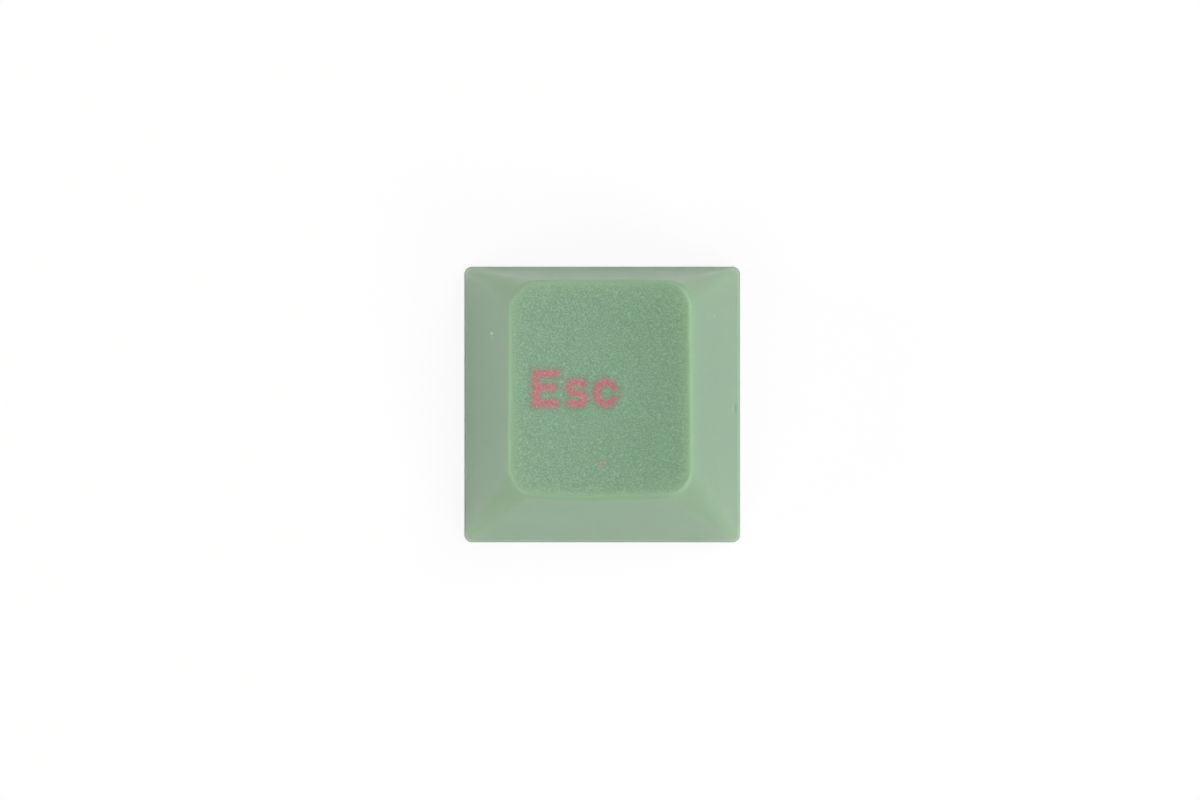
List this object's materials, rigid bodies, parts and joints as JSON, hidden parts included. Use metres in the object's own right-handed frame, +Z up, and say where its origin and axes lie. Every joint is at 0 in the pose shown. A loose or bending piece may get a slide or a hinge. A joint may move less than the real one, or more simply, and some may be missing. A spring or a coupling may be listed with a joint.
{
  "type": "keyboard keycap",
  "caption": "Square one-unit keycap with leaning walls, a dished top face, a hollow underside and a round post whose cross-shaped socket pushes onto a key switch.",
  "frame": {"origin": "on the post's axis, level with the flat rim that the keycap stands on", "axes": "+Z up through the top face, +X to the right as typed, +Y to the back of the keyboard, away from the typist"},
  "size_m": [0.0182, 0.0182, 0.0094],
  "materials": {
    "dyed_plastic": "sage green, fine-grained top face and smooth satin walls"
  },
  "bodies": {
    "root": {"keycap": "dyed_plastic"}
  },
  "joints": []
}
